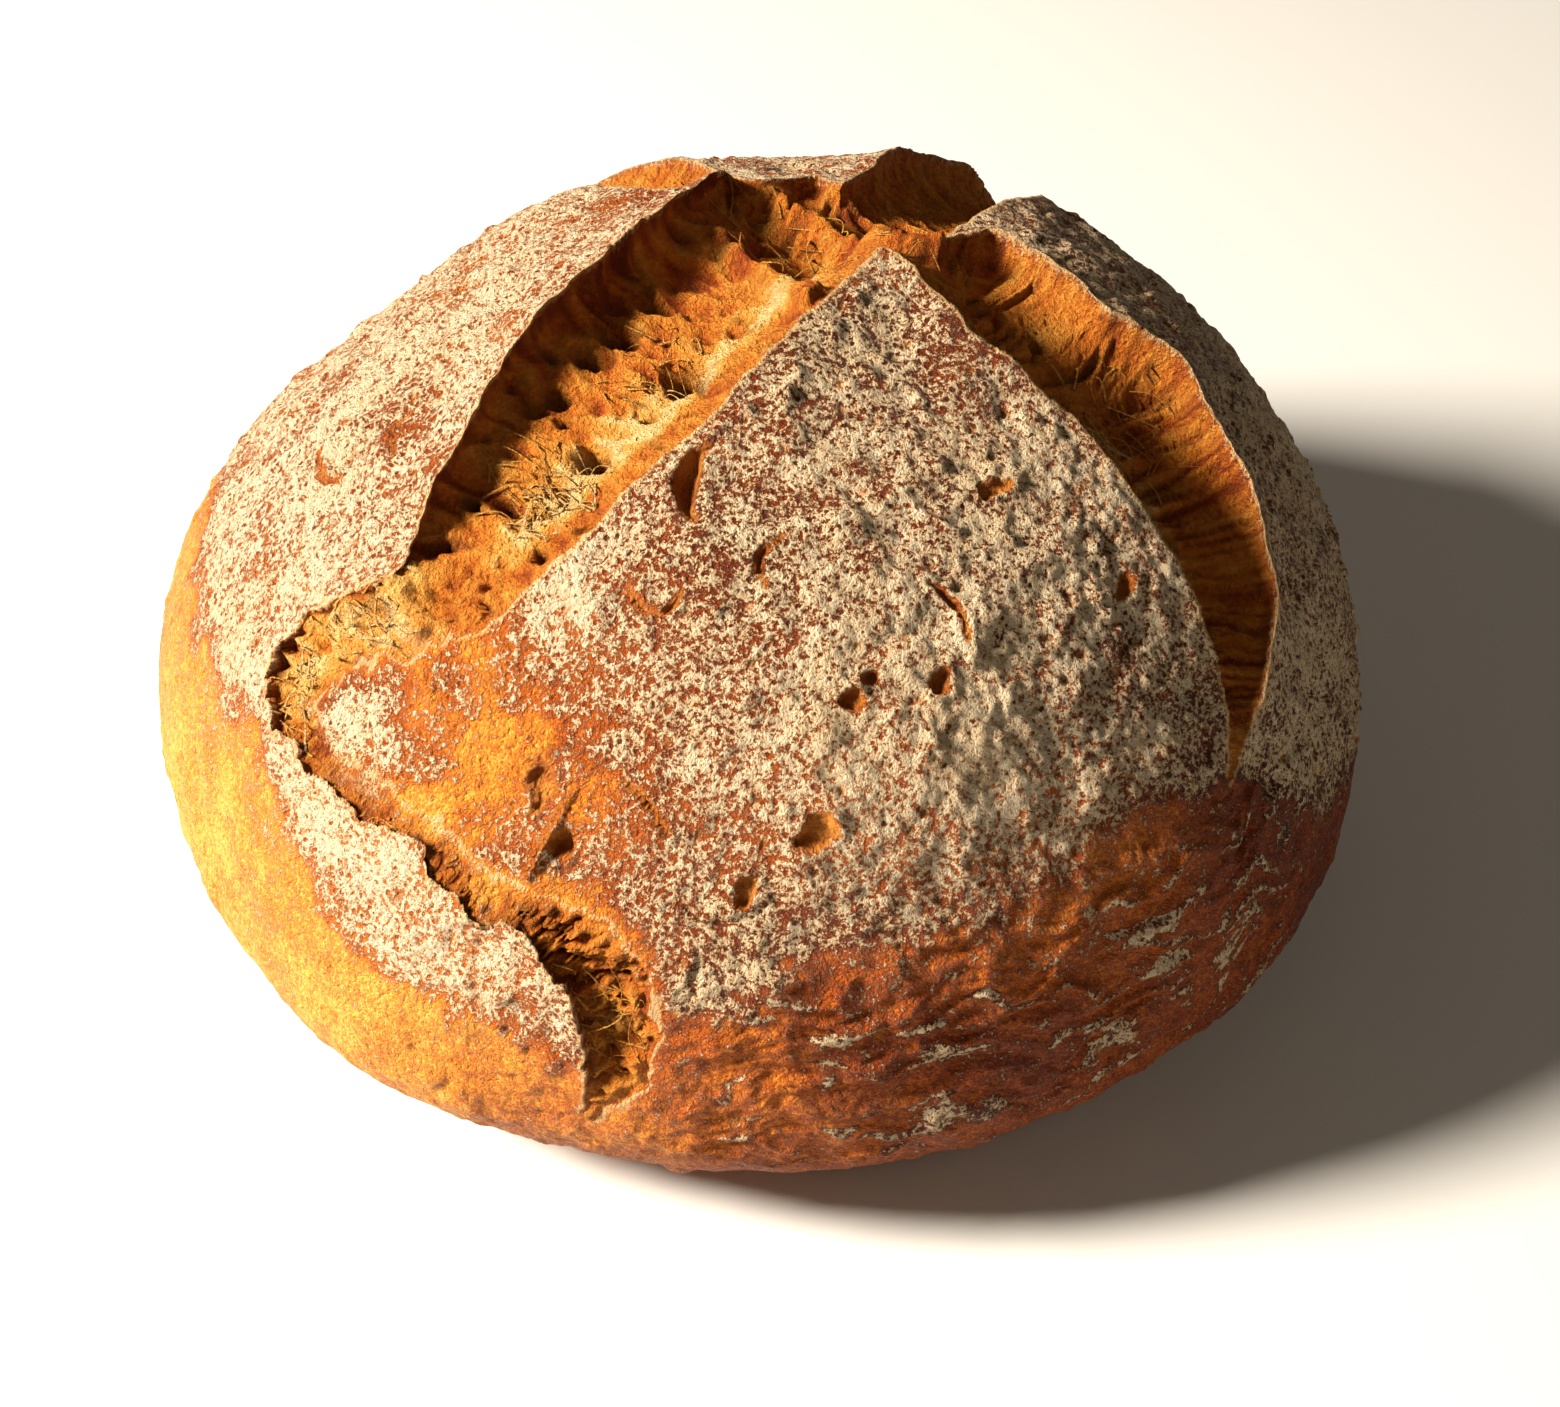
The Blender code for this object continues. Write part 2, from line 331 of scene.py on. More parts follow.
def nearest_on(path, x, y):
    """Distance to a path, the share of its length at the nearest point, and the way to that point."""
    ends = np.concatenate([[0.0], np.cumsum(np.hypot(*np.diff(path, axis=0).T))])
    best = np.full(x.shape, np.inf)
    share, to_x, to_y = np.zeros(x.shape), np.zeros(x.shape), np.zeros(x.shape)
    for a, b, start, end in zip(path, path[1:], ends, ends[1:]):
        along = b - a
        t = np.clip(((x - a[0]) * along[0] + (y - a[1]) * along[1]) / (along @ along), 0, 1)
        dx, dy = a[0] + t * along[0] - x, a[1] + t * along[1] - y
        squared = dx * dx + dy * dy
        nearer = squared < best
        best = np.where(nearer, squared, best)
        share = np.where(nearer, (start + t * (end - start)) / ends[-1], share)
        to_x, to_y = np.where(nearer, dx, to_x), np.where(nearer, dy, to_y)
    return np.sqrt(best), share, to_x, to_y


def inside_ring(ring, x, y):
    """Which places lie inside the closed ring of points."""
    inside = np.zeros(x.shape, bool)
    for a, b in zip(ring, np.roll(ring, -1, axis=0)):
        if a[1] == b[1]:
            continue
        crosses = (a[1] > y) != (b[1] > y)
        inside ^= crosses & (x < (b[0] - a[0]) * (y - a[1]) / (b[1] - a[1]) + a[0])
    return inside


class Opening:
    """The opening at the map places x, y: which places are in it, and how far each petal is."""

    def __init__(self, x, y):
        paths = {name: smooth_path(points) for name, points in LIPS.items()}
        ring = np.concatenate([paths[name][::way] for name, way in RING])
        self.inside = inside_ring(ring, x, y)
        found = {name: nearest_on(path, x, y) for name, path in paths.items()}
        self.distance, self.share, self.to_x, self.to_y, self.shape = {}, {}, {}, {}, {}
        for petal in PETALS:
            first, second = [name for name in LIPS if name[0] == petal]
            nearer = found[first][0] < found[second][0]
            both = [np.where(nearer, a, b) for a, b in zip(found[first], found[second])]
            self.distance[petal], self.share[petal], self.to_x[petal], self.to_y[petal] = both
            shapes = [lip_shape(name, found[name][1]) for name in (first, second)]
            self.shape[petal] = [np.where(nearer, a, b) for a, b in zip(*shapes)]
        self.snap()
        ordered = np.sort(np.stack(list(self.distance.values())), axis=0)
        self.near, self.width = ordered[0], ordered[0] + ordered[1]

    def snap(self):
        """Finds how far the places closest to a lip move to lie on it, which gives a clean edge."""
        self.moved_x, self.moved_y = np.zeros(len(self.inside)), np.zeros(len(self.inside))
        for petal in PETALS:
            close = self.distance[petal] < SNAP_REACH
            self.moved_x[close] = self.to_x[petal][close]
            self.moved_y[close] = self.to_y[petal][close]
            self.distance[petal] = np.where(close, 0.0, self.distance[petal])
            self.inside &= ~close

    def nearest_shape(self, column):
        """A column of the lip shapes, of the nearest petal."""
        distance = np.stack([self.distance[petal] for petal in PETALS])
        values = np.stack([self.shape[petal][column] for petal in PETALS])
        return values[np.argmin(distance, axis=0), np.arange(len(self.near))]

    def rise(self):
        """How far the lips lift the crust: full at a lip, blended between the lips across the opening."""
        outside = self.nearest_shape(RISE) * np.exp(-self.near / self.nearest_shape(REACH))
        return np.where(self.inside, self.blended(RISE), outside)

    def blended(self, column):
        """A column of the lip shapes, blended between the petals by how near each is."""
        weights = {petal: 1 / (self.distance[petal] ** 2 + BLEND_SOFTNESS) for petal in PETALS}
        return sum(weights[p] * self.shape[p][column] for p in PETALS) / sum(weights.values())

    def depth(self):
        """How far the opening's floor is below its lips."""
        depth = OPENING_DEPTH * (1 - np.exp(-WIDTH_SHARE * self.width / OPENING_DEPTH)) * self.blended(DEPTH)
        for petal in PETALS:
            depth = depth * (1 - np.exp(-self.distance[petal] / self.shape[petal][SLOPE]))
        return np.where(self.inside, depth, 0)

    def overhang(self):
        """The shift on the map that tucks each wall in under its lip."""
        shift_x, shift_y = np.zeros(len(self.near)), np.zeros(len(self.near))
        for petal in PETALS:
            away = self.distance[petal]
            slope = self.shape[petal][SLOPE]
            amount = self.shape[petal][OVERHANG] * away / slope * np.exp(1 - away / slope)
            for other in PETALS:
                if other != petal:
                    amount = amount * (1 - np.exp(-self.distance[other] / FAR_WALL_REACH))
            amount = np.where(self.inside, amount / np.maximum(away, 1e-6), 0)
            shift_x += amount * self.to_x[petal]
            shift_y += amount * self.to_y[petal]
        return shift_x, shift_y

    def along(self):
        """How far along its lips each place is, for the crumb's fibres, which run across the slash."""
        along, total = np.zeros(len(self.near)), np.zeros(len(self.near))
        for petal in PETALS:
            weight = 1 / (self.distance[petal] ** 2 + FIBRE_SOFTNESS)
            along += weight * self.share[petal] * FIBRE_RUN
            total += weight
        return along / total


def lip_shape(name, share):
    """The columns of a lip's shape at shares of its length."""
    rows = np.array(LIP_SHAPES[name], float)
    return [np.interp(share, rows[:, 0], column) for column in rows.T[1:]]


# ---- what lies on the crust

# (map x, map y, half length, half width, turn in degrees, depth): small torn craters.
CRATERS = (
    (8.4, -106.2, 4.0, 2.4, 50, 1.1),
    (14.0, -86.5, 2.0, 1.5, 0, 1.5),
    (28.2, -82.0, 2.4, 1.6, 60, 1.3),
    (17.0, -82.5, 1.6, 1.3, 0, 1.2),
    (-52.7, 10.5, 3.2, 1.2, 60, 1.3),
    (-38.5, -95.7, 3.6, 2.6, 80, 1.2),
    (-36.0, -105.5, 2.2, 2.4, 0, 1.0),
    (-3.5, -115.3, 3.0, 1.6, 75, 1.0),
    (60.5, -59.0, 2.6, 1.3, 60, 1.1),
    (37.0, -48.0, 3.0, 1.4, 30, 1.0),
)

# Thin cracks in the crust: points on the map, half width and depth.
CRACKS = (
    (((-77.5, -17), (-79.5, -22), (-77.5, -28), (-73, -31)), 0.9, 1.4),
    (((-76.0, -16), (-72.5, -17.5)), 0.7, 1.0),
    (((-60.0, -24), (-63, -27.5), (-62.5, -32)), 0.9, 1.4),
    (((-9.0, -44.5), (-11.5, -48), (-12.5, -53), (-11.5, -57)), 1.9, 3.2),
    (((-22.0, -67), (-19.5, -71.5), (-15.5, -72), (-13.5, -69)), 0.7, 1.0),
    (((-47.5, -114), (-41, -107), (-35, -100), (-32, -94)), 0.45, 0.8),
    (((-24, -97), (-20, -101), (-17, -106)), 0.6, 0.9),
    (((26, -66), (31, -70), (33, -76)), 0.6, 0.9),
    (((3, -60), (-1, -64), (0, -69)), 0.6, 0.8),
)

RIM_HEIGHT = 0.55  # of the rim round a crater
RIM_PLACE = 1.18  # distance of that rim from the crater's middle, in craters
CRACK_RIM_HEIGHT = 0.45

# (map x, map y, reach, amount): where flour lies thicker, or is worn or baked off.
FLOUR_PATCHES = (
    (-62, -22, 12, -0.45), (-50, -70, 10, -0.35), (-45, -84, 14, -0.25), (-22, -78, 13, -0.15),
    (-12, -66, 9, -0.18), (-30, -70, 8, 0.35), (-25, -95, 14, -0.18), (-75, -100, 16, 0.25),
    (-58, -118, 8, 0.35), (-62, -132, 14, -0.3), (40, -90, 18, 0.15), (-3, -118, 14, -0.15),
    (45, -60, 25, 0.15), (15, -45, 30, -0.07), (-38, -100, 15, -0.25), (-50, -92, 9, -0.25),
    (-17, -128, 9, -0.25), (-62, -80, 8, -0.25), (-66, -15, 40, 0.22), (-95, -60, 35, 0.15),
)
# (azimuth in degrees, map distance at which the flour ends).
FLOUR_ENDS = (
    (-180, 116), (-164, 118), (-143, 124), (-133, 130), (-124, 141), (-114, 147), (-107, 147), (-99, 138),
    (-90, 130), (-83, 124), (-74, 122), (-64, 120), (-52, 118), (-43, 122), (-35, 135), (-20, 148), (0, 152),
    (25, 142), (60, 132), (100, 130), (140, 124), (180, 116),
)


def flour_cover(x, y, points):
    """How thickly the crust is floured, 0 to 1, before its fine specks."""
    azimuth, away = np.degrees(np.arctan2(y, x)), np.hypot(x, y)
    ends = np.array(FLOUR_ENDS, float)
    end = np.interp(azimuth, ends[:, 0], ends[:, 1])
    end = end + 13 * layered(points, 34, 3, 60) + 8 * layered(points, 8, 3, 66, 0.6)
    cover = smoothstep(6, -6, away - end)
    cover = cover * (0.78 + 0.30 * layered(points, 22, 4, 63, 0.6))
    patchy = layered(points, 8, 3, 61, 0.6)
    for px, py, reach, amount in FLOUR_PATCHES:
        spread = ((x - px) ** 2 + (y - py) ** 2) / reach**2
        cover = cover + amount * np.exp(-spread) * (1 + 1.3 * patchy)
    dust = 0.16 * smoothstep(-110, -150, azimuth) * smoothstep(60, -10, away - end)
    dust = dust + 0.03 + 0.09 * smoothstep(155, 135, away) + 0.1 * noise(points, 14, 67)
    return np.clip(np.maximum(cover, dust), 0, 1)


def oval(x, y, long, wide, degrees):
    """1 on the edge of a turned oval round the origin, less inside it and more outside."""
    c, s = math.cos(math.radians(degrees)), math.sin(math.radians(degrees))
    along, across = x * c + y * s, y * c - x * s
    return np.sqrt((along / long) ** 2 + (across / wide) ** 2)


def crater_shapes(x, y, points):
    """Height that the craters add, and how far each place is inside one."""
    height, pit = np.zeros(len(x)), np.zeros(len(x))
    wobble = 1 + 0.42 * noise(points, 2.8, 31) + 0.2 * noise(points, 1.2, 32)
    for px, py, long, wide, turn, depth in CRATERS:
        q = oval(x - px, y - py, long, wide, turn) * wobble
        height -= depth * smoothstep(1.05, 0.7, q)
        height += RIM_HEIGHT * np.exp(-(((q - RIM_PLACE) * min(long, wide)) ** 2))
        pit = np.maximum(pit, smoothstep(1.1, 0.9, q))
    return height, pit


def crack_shapes(x, y, points):
    """Height that the cracks add, and how far each place is inside one."""
    height, pit = np.zeros(len(x)), np.zeros(len(x))
    wx, wy = x + 0.5 * noise(points, 2.2, 35), y + 0.5 * noise(points, 2.2, 36)
    for line, wide, depth in CRACKS:
        away, share, _, _ = nearest_on(smooth_path(line), wx, wy)
        taper = 0.35 + 0.65 * np.sin(np.pi * np.clip(share, 0.03, 0.97))
        q = away / (wide * taper)
        height -= depth * taper * smoothstep(1.25, 0.3, q)
        height += CRACK_RIM_HEIGHT * np.exp(-((away - wide * 1.6) ** 2) / (wide * 0.8) ** 2)
        pit = np.maximum(pit, smoothstep(1.35, 0.8, q))
    return height, pit


# Raised edges of torn skin: points on the map, half width and height.
FOLDS = (
    (((-31, -95), (-36, -101), (-40, -107), (-46, -115)), 0.8, 1.5),
    (((-40, -93), (-36, -90.5), (-32, -92), (-31, -97)), 0.9, 1.0),
    (((-62, -78), (-58, -76.5), (-56, -80), (-58, -84)), 0.9, 0.9),
    (((-24, -112), (-19, -117), (-12, -119), (-3, -118)), 0.8, 0.9),
    (((-13, -121), (-15, -128), (-20, -133)), 0.8, 1.1),
    (((-5, -39), (-9, -43), (-10, -50)), 0.9, 1.0),
    (((12, -24), (17, -29), (24, -31), (27, -38)), 1.0, 0.9),
    (((0, -22), (5, -31), (3, -39), (8, -46)), 1.1, 0.9),
    (((22, -52), (28, -56), (36, -55)), 0.9, 0.8),
)


def fold_height(x, y, points):
    """Height that the raised edges add."""
    height = np.zeros(len(x))
    wx, wy = x + 0.9 * noise(points, 3, 37), y + 0.9 * noise(points, 3, 38)
    for line, wide, high in FOLDS:
        away, share, _, _ = nearest_on(smooth_path(line), wx, wy)
        taper = np.sin(np.pi * np.clip(share, 0.05, 0.95))
        height = np.maximum(height, high * taper * np.exp(-((away / wide) ** 2)))
    return height


def wrinkle_zone(x, y, points):
    """Where the bare crust is drawn into level wrinkles: low on the front right."""
    azimuth, away = np.degrees(np.arctan2(y, x)), np.hypot(x, y)
    zone = smoothstep(-104, -90, azimuth) * smoothstep(-28, -42, azimuth)
    return zone * smoothstep(120, 130, away + 5 * noise(points, 12, 71)) * smoothstep(178, 160, away)


def level_flow(x, y, points):
    """Coordinates along and across the loaf's level lines, in millimetres, gently waved."""
    azimuth, away = np.arctan2(y, x), np.hypot(x, y)
    flow = np.stack([azimuth * BELLY_RADIUS, away, 0 * away], axis=1)
    flow[:, 1] += 5 * noise(points, 15, 72) + 2 * noise(points, 6, 73)
    return flow


def wrinkles(flow):
    """Height of the wrinkles at places given as level_flow gives them."""
    folds = 1 - 2 * np.abs(noise(flow, (15, 5.0, 9), 74))
    small = 1 - 2 * np.abs(noise(flow, (7, 2.4, 9), 75))
    return folds + 0.45 * small


def flake_cover(points, zone, flow, wrinkle):
    """Where flakes of floured skin are left on the crests of the wrinkles."""
    crest = 0.4 * wrinkle + 0.4 * noise(points, 10, 76) + 0.5 * noise(flow, (9, 1.7, 9), 77)
    return zone * smoothstep(0.45, 0.7, crest)


def blisters(points, scale, seed, share):
    """Round-topped blisters on a share of scattered cells."""
    first, second, own = cells(points, scale, seed)
    return (own < share) * smoothstep(0.48, 0.1, first) * smoothstep(0.02, 0.2, second - first)


def pinholes(points):
    """Fine pores on a share of scattered cells."""
    first, _, own = cells(points, 3.4, 22)
    return (own < 0.30) * smoothstep(0.30, 0.12, first)


def skin_height(x, y, points, flour, pinhole):
    """Height of the crust's lumps, blisters, grains and pores."""
    lumps = layered(points, 8.0, 4, 15, 0.62)
    grains = layered(points, 1.5, 2, 18)
    blobs = blisters(points, 11.0, 20, 0.4) * 0.9 + blisters(points, 5.0, 21, 0.4) * 0.5
    front_side = smoothstep(-95, -60, x) * smoothstep(70, 20, y)
    return (0.8 + 0.9 * front_side) * lumps + 1.3 * blobs + (0.15 + 0.25 * flour) * grains - 0.6 * pinhole


# ---- crumb in the opening

# (map x, map y, half length, half width, depth): the larger holes in the crumb.
HOLES = (
    (-12.7, -24.3, 5.4, 4.0, 7.5), (-23.5, -13.5, 3.4, 2.4, 4.5), (-28.5, -18.5, 2.6, 2.0, 3.5),
    (-17.0, -6.0, 2.6, 2.0, 3.5), (-34.0, -26.0, 2.4, 1.8, 3.0), (-28.6, -40.4, 4.0, 2.8, 5.0),
    (-43.0, -46.5, 2.2, 1.6, 3.5), (-47.6, -46.0, 1.6, 1.3, 3.0), (-37.1, -58.8, 2.4, 1.4, 3.0),
    (-19.5, -33.0, 1.6, 1.2, 3.0), (-33.0, -31.0, 1.8, 1.2, 3.0), (52.0, -22.0, 3.4, 2.6, 3.5),
    (47.5, -8.0, 2.2, 1.6, 3.0), (66.0, -33.0, 2.4, 1.8, 3.0), (75.0, -41.0, 2.0, 1.5, 3.0),
)
HOLE_TURN = -45  # degrees from map +x to the length of every hole

# (size, depth, share of the cells that hold one, seed): the small holes.
SMALL_HOLES = ((4.2, 2.4, 0.30, 46), (2.4, 1.2, 0.35, 47))

# Ridges of crumb left standing in the opening: points on the map, half width and height.
RIDGES = (
    (((-4, 10), (0, 4), (4, -6), (7, -13)), 2.6, 4.5),
    (((5, 24), (10, 19), (15, 14), (21, 7), (29, 6)), 2.2, 5.0),
    (((-63, -56), (-60, -62), (-57, -67)), 1.6, 2.6),
    (((-72, -57), (-71, -62), (-68, -67)), 1.3, 2.2),
    (((-84, -60), (-83, -66)), 1.3, 2.0),
    (((-79, -83), (-76, -86)), 1.0, 1.5),
)
# (map x, map y, reach, depth): where the crumb lies lower.
HOLLOWS = ((9, 10, 8, 3.5), (-3, 22, 7, 2.0), (40, 30, 9, 2.0))


def ridge_height(x, y):
    """Height that the ridges and hollows add."""
    height = np.zeros(len(x))
    for line, wide, high in RIDGES:
        away = nearest_on(smooth_path(line), x, y)[0]
        height = np.maximum(height, high * np.exp(-((away / wide) ** 2)))
    for px, py, reach, depth in HOLLOWS:
        height -= depth * np.exp(-((x - px) ** 2 + (y - py) ** 2) / reach**2)
    return height


def crumb_shapes(opening, x, y, points):
    """The torn crumb's height, how deep in a hole each place is, and how high on a fibre."""
    across = opening.distance["L"] - opening.distance["F"] + opening.distance["K"]
    strands = np.stack([opening.along(), 0.5 * across, 0 * across], axis=1)
    strands[:, 0] += 1.2 * noise(points, 6, 41)
    fine = 1 - 2 * np.abs(noise(strands, (1.5, 7, 9), 42))
    coarse = 1 - 2 * np.abs(noise(strands, (4.0, 12, 9), 43))
    height = 0.95 * fine + 0.9 * coarse + 0.5 * layered(points, 1.8, 3, 44, 0.6) + ridge_height(x, y)
    height += ragged_zone(x, y) * (1.6 * layered(points, 3.6, 3, 48, 0.6) + 0.8 * fine)
    hole = np.zeros(len(x))
    wobble = 1 + 0.25 * noise(points, 2.5, 45)
    for px, py, long, wide, depth in HOLES:
        inside = smoothstep(1.15, 0.55, oval(x - px, y - py, long, wide, HOLE_TURN) * wobble)
        height -= depth * inside
        hole = np.maximum(hole, inside)
    for size, depth, share, seed in SMALL_HOLES:
        first, _, own = cells(strands, (size, 2.2 * size, size), seed)
        pit = (own < share) * smoothstep(0.40, 0.14, first)
        height -= depth * pit
        hole = np.maximum(hole, 0.8 * pit)
    return height, hole, 0.5 + 0.35 * fine + 0.25 * coarse


def ragged_zone(x, y):
    """Where the crust tore by itself, past the end of the slash and down the front."""
    corner = smoothstep(-40, -52, x) * smoothstep(-48, -58, y)
    crack = smoothstep(-84, -94, y) * smoothstep(-12, -24, x)
    return np.maximum(corner, crack) * smoothstep(-105, -90, x)


def torn_corner(x, y):
    """How surely a place is in the corner where the left slash turns into the crack."""
    return smoothstep(-52, -60, x) * smoothstep(-95, -85, x) * smoothstep(-78, -66, y)


def pale_crumb(y, points, wall, front, width, torn):
    """Where the crumb is pale: in the wide part of a slash, and in the torn corner."""
    back = 10 * smoothstep(-42, -12, y)
    pale = smoothstep(9, 18, wall - back + 3 * noise(points, 5, 51))
    pale *= smoothstep(4, 11, front + 2 * noise(points, 3, 52))
    pale *= smoothstep(11, 22, width)
    return np.maximum(pale, 0.8 * torn * smoothstep(0.5, 3, wall) * (0.8 + 0.6 * noise(points, 4, 55)))


def painted_crumb_shade(points, walls, inside, width, torn):
    """Where shade is painted on the crumb: close under the lips, and where the opening is narrow."""
    ragged = noise(points, 3, 53)
    # Painted shade in the narrow parts of the opening, and below it painted shade under each petal's lip.
    crumb_shade = 0.75 * inside * (1 - torn) * smoothstep(11, 5, width)
    for petal, strength in WALL_SHADES:
        crumb_shade = np.maximum(crumb_shade, strength * inside * smoothstep(5.0, 0.3, walls[petal] + ragged))
    return crumb_shade


# ---- the whole surface

WALL_SHADES = (("L", 0.95), ("R", 0.6), ("K", 0.4))  # how dark the painted shade on the wall under each petal's lip is
GOLDEN_AZIMUTH = -160  # the side of the lower crust that is baked least
BROWN_AZIMUTH = -55  # the side that is baked most


def degrees_from(azimuth, middle):
    return np.abs((azimuth - middle + 180) % 360 - 180)


def bake_amount(x, y, away, points):
    """How brown the bare crust is, from 0, golden, to 1, dark."""
    azimuth = np.degrees(np.arctan2(y, x))
    golden = smoothstep(75, 20, degrees_from(azimuth, GOLDEN_AZIMUTH)) * smoothstep(90, 130, away)
    brown = 0.3 * smoothstep(75, 15, degrees_from(azimuth, BROWN_AZIMUTH)) * smoothstep(95, 150, away)
    bake = 0.36 - 0.17 * golden + brown
    bake += 0.22 * smoothstep(-35, 5, x) * smoothstep(40, 0, np.abs(y + 30) - 40)
    bake += 0.2 * layered(points, 30, 3, 54) + 0.35 * smoothstep(BASE_DISTANCE - 14, BASE_DISTANCE + 4, away)
    return np.clip(bake, 0, 1)


def swell_height(x, y):
    """Height of the slow swells and hollows."""
    height = np.zeros(len(x))
    for px, py, reach, swell in SWELLS:
        height += swell * np.exp(-((x - px) ** 2 + (y - py) ** 2) / reach**2)
    return height


def frayed(values, points, ragged, seed):
    """Map places moved a little each way, which frays the lips."""
    fine = (0.4 + 0.9 * ragged) * noise(points, 2.2, seed)
    return values + fine + (0.8 + 1.2 * ragged) * noise(points, 6, seed + 1)


def full(mask, values, outside=0.0):
    """The values at the mask's places, and the outside value at all others."""
    out = np.full(len(mask), outside)
    out[mask] = values
    return out


def crust_surface():
    """Vertex places in millimetres, the map's u and v, and the masks that the material reads."""
    x, y, u, v = (a.ravel() for a in crust_grid())
    away = np.hypot(x, y)
    plain, _ = body_at(x, y)
    upper = away < UPPER_REACH
    ragged = ragged_zone(x, y)
    opening = Opening(frayed(x, plain, ragged, 1)[upper], frayed(y, plain, ragged, 3)[upper])
    inside = full(upper, opening.inside)
    crust = 1 - inside
    near, width = full(upper, opening.near, FAR), full(upper, opening.width)
    walls = {petal: full(upper, opening.distance[petal], FAR) for petal in PETALS}
    x, y = x + full(upper, opening.moved_x), y + full(upper, opening.moved_y)
    shift_x, shift_y = opening.overhang()
    point, normal = body_at(x + full(upper, shift_x), y + full(upper, shift_y))

    sides = smoothstep(BASE_DISTANCE + 2, BASE_DISTANCE - 25, away)
    height = swell_height(x, y)
    height += sides * (1.3 * layered(plain, 55, 2, 11) + 0.5 * noise(plain, 16, 13))
    height += full(upper, opening.rise() * (1 + 0.18 * noise(plain[upper], 9, 14)) - opening.depth())

    flour = flour_cover(x, y, plain)
    crater, pit = crater_shapes(x, y, plain)
    crack, split = crack_shapes(x, y, plain)
    pit = np.maximum(pit, split) * crust
    clear = smoothstep(0.5, 4.0, near)
    pinhole = pinholes(plain)
    skin = skin_height(x, y, plain, flour, pinhole)
    height += crust * sides * (0.35 + 0.65 * clear) * skin * (0.6 + 0.4 * flour)
    height += crust * sides * clear * (crater + crack + fold_height(x, y, plain))
    zone, flow = wrinkle_zone(x, y, plain), level_flow(x, y, plain)
    wrinkle = wrinkles(flow)
    height += crust * zone * wrinkle

    crumb_height, hole, fibre = crumb_shapes(opening, x[upper], y[upper], plain[upper])
    settle = smoothstep(0.2, 3.0, near) * smoothstep(0, 8, width)
    height += inside * settle * full(upper, crumb_height)
    point = point + normal * (height * (away < BASE_DISTANCE + 1))[:, None]
    point[:, 2] = np.maximum(point[:, 2], 0.0)

    torn, front = torn_corner(x, y), walls["F"]
    wall = np.minimum(np.minimum(walls["L"], walls["R"]), walls["K"])
    flakes = flake_cover(plain, zone, flow, wrinkle)
    flour = np.clip(np.maximum(flour, 0.8 * flakes), 0, 1) * (1 - pit)
    blurred = np.maximum(torn, smoothstep(-80, -95, y) * smoothstep(-15, -25, x))
    torn_edge = blurred * smoothstep(2.6, 0.4, front + 1.8 * noise(plain, 2.5, 56))
    masks = {
        "flour": flour * (1 - 0.75 * blurred * smoothstep(6, 1, front + 4 * noise(plain, 4, 57))),
        "crumb": inside * (1 - torn_edge),
        "pale": pale_crumb(y, plain, wall, front, width, torn) * inside,
        # Painted shade on the crumb under the lips and in narrow parts of the opening.
        "crumb_shade": painted_crumb_shade(plain, walls, inside, width, torn),
        "bake": bake_amount(x, y, away, plain),
        "pit": np.maximum(pit, 0.75 * pinhole * crust),
        "fibre": full(upper, fibre),
        # Where painted shade darkens the crumb's holes.
        "hole": full(upper, hole) * inside * settle,
        "lip": crust * np.exp(-near / 1.2),
    }
    return point, u, v, masks


# ---- strands and the mesh

# (map x, map y, reach, number): where torn strands of crumb cross the opening.
STRAND_PLACES = (
    (-16, -22, 9, 40), (-38, -46, 10, 70), (-70, -62, 12, 70), (-84, -68, 8, 40),
    (-66, -96, 12, 40), (-45, -116, 10, 40), (-32, -135, 11, 70), (5, 12, 14, 30), (22, 10, 8, 25),
    (62, -24, 14, 45), (18, 38, 8, 15),
)
STRAND_SIDES = 3
STRAND_STEPS = 6  # along its length
STRAND_LIFT = 0.7  # of its middle above the straight line between its ends
STRAND_LENGTH = (3.5, 8.5)  # least and most
STRAND_RADIUS = (0.13, 0.30)  # least and most, of its middle
STRAND_BEND = 0.8  # how far its middle strays, as a standard deviation
STRAND_TURN = -math.pi / 4  # middle direction on the map, which is across the front left slash
STRAND_TURN_SPREAD = 0.5


def grid_number(x, y):
    """The number of the grid place nearest to a map place on the upper part."""
    ring = np.hypot(x, y) / INNER_REACH
    fold_v = ring * np.arctan2(np.abs(y), np.abs(x)) / (math.pi / 2)
    u, v = np.sign(x) * (ring - fold_v), np.sign(y) * fold_v
    column, row = (np.round((a + 1) / 2 * (GRID - 1)).astype(int) for a in (u, v))
    return row * GRID + column


def strand_ends(masks):
    """Pairs of grid numbers that strands run between, each a few millimetres apart in the opening."""
    starts, ends = [], []
    for px, py, reach, count in STRAND_PLACES:
        x, y = rng.normal(px, reach / 2, count), rng.normal(py, reach / 2, count)
        turn = rng.normal(STRAND_TURN, STRAND_TURN_SPREAD, count)
        long = rng.uniform(*STRAND_LENGTH, count)
        starts.append(grid_number(x - long / 2 * np.cos(turn), y - long / 2 * np.sin(turn)))
        ends.append(grid_number(x + long / 2 * np.cos(turn), y + long / 2 * np.sin(turn)))
    starts, ends = np.concatenate(starts), np.concatenate(ends)
    both = (masks["crumb"][starts] > 0.5) & (masks["crumb"][ends] > 0.5)
    return starts[both], ends[both]


